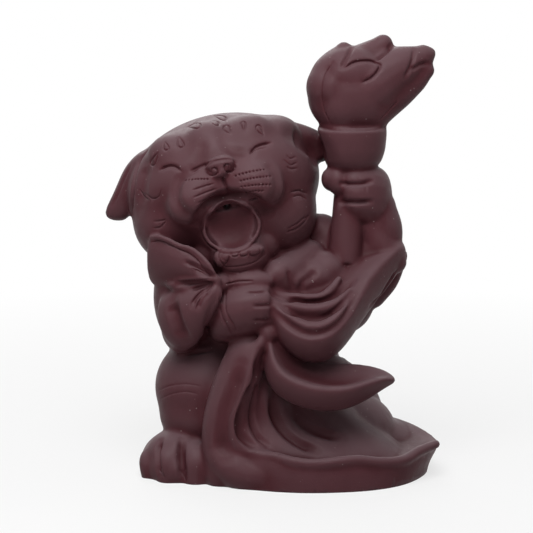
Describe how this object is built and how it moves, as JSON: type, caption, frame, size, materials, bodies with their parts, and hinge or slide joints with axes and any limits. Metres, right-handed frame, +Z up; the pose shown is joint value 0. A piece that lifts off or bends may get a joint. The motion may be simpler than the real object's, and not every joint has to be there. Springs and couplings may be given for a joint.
{
  "type": "backflow incense burner",
  "caption": "Clay figurine of a singing tiger cub holding a torch up; smoke falls from its open mouth over two scooped folds of cloth into the dish of its hem.",
  "frame": {"origin": "on the surface that the figure stands on, under the middle of the figure", "axes": "+Z up, +X to the right of someone who faces the figure, +Y towards the figure's back"},
  "size_m": [0.1235, 0.0965, 0.1612],
  "materials": {
    "clay": "unglazed purple clay, smooth and matte"
  },
  "bodies": {
    "root": {"figure": "clay"}
  },
  "joints": []
}
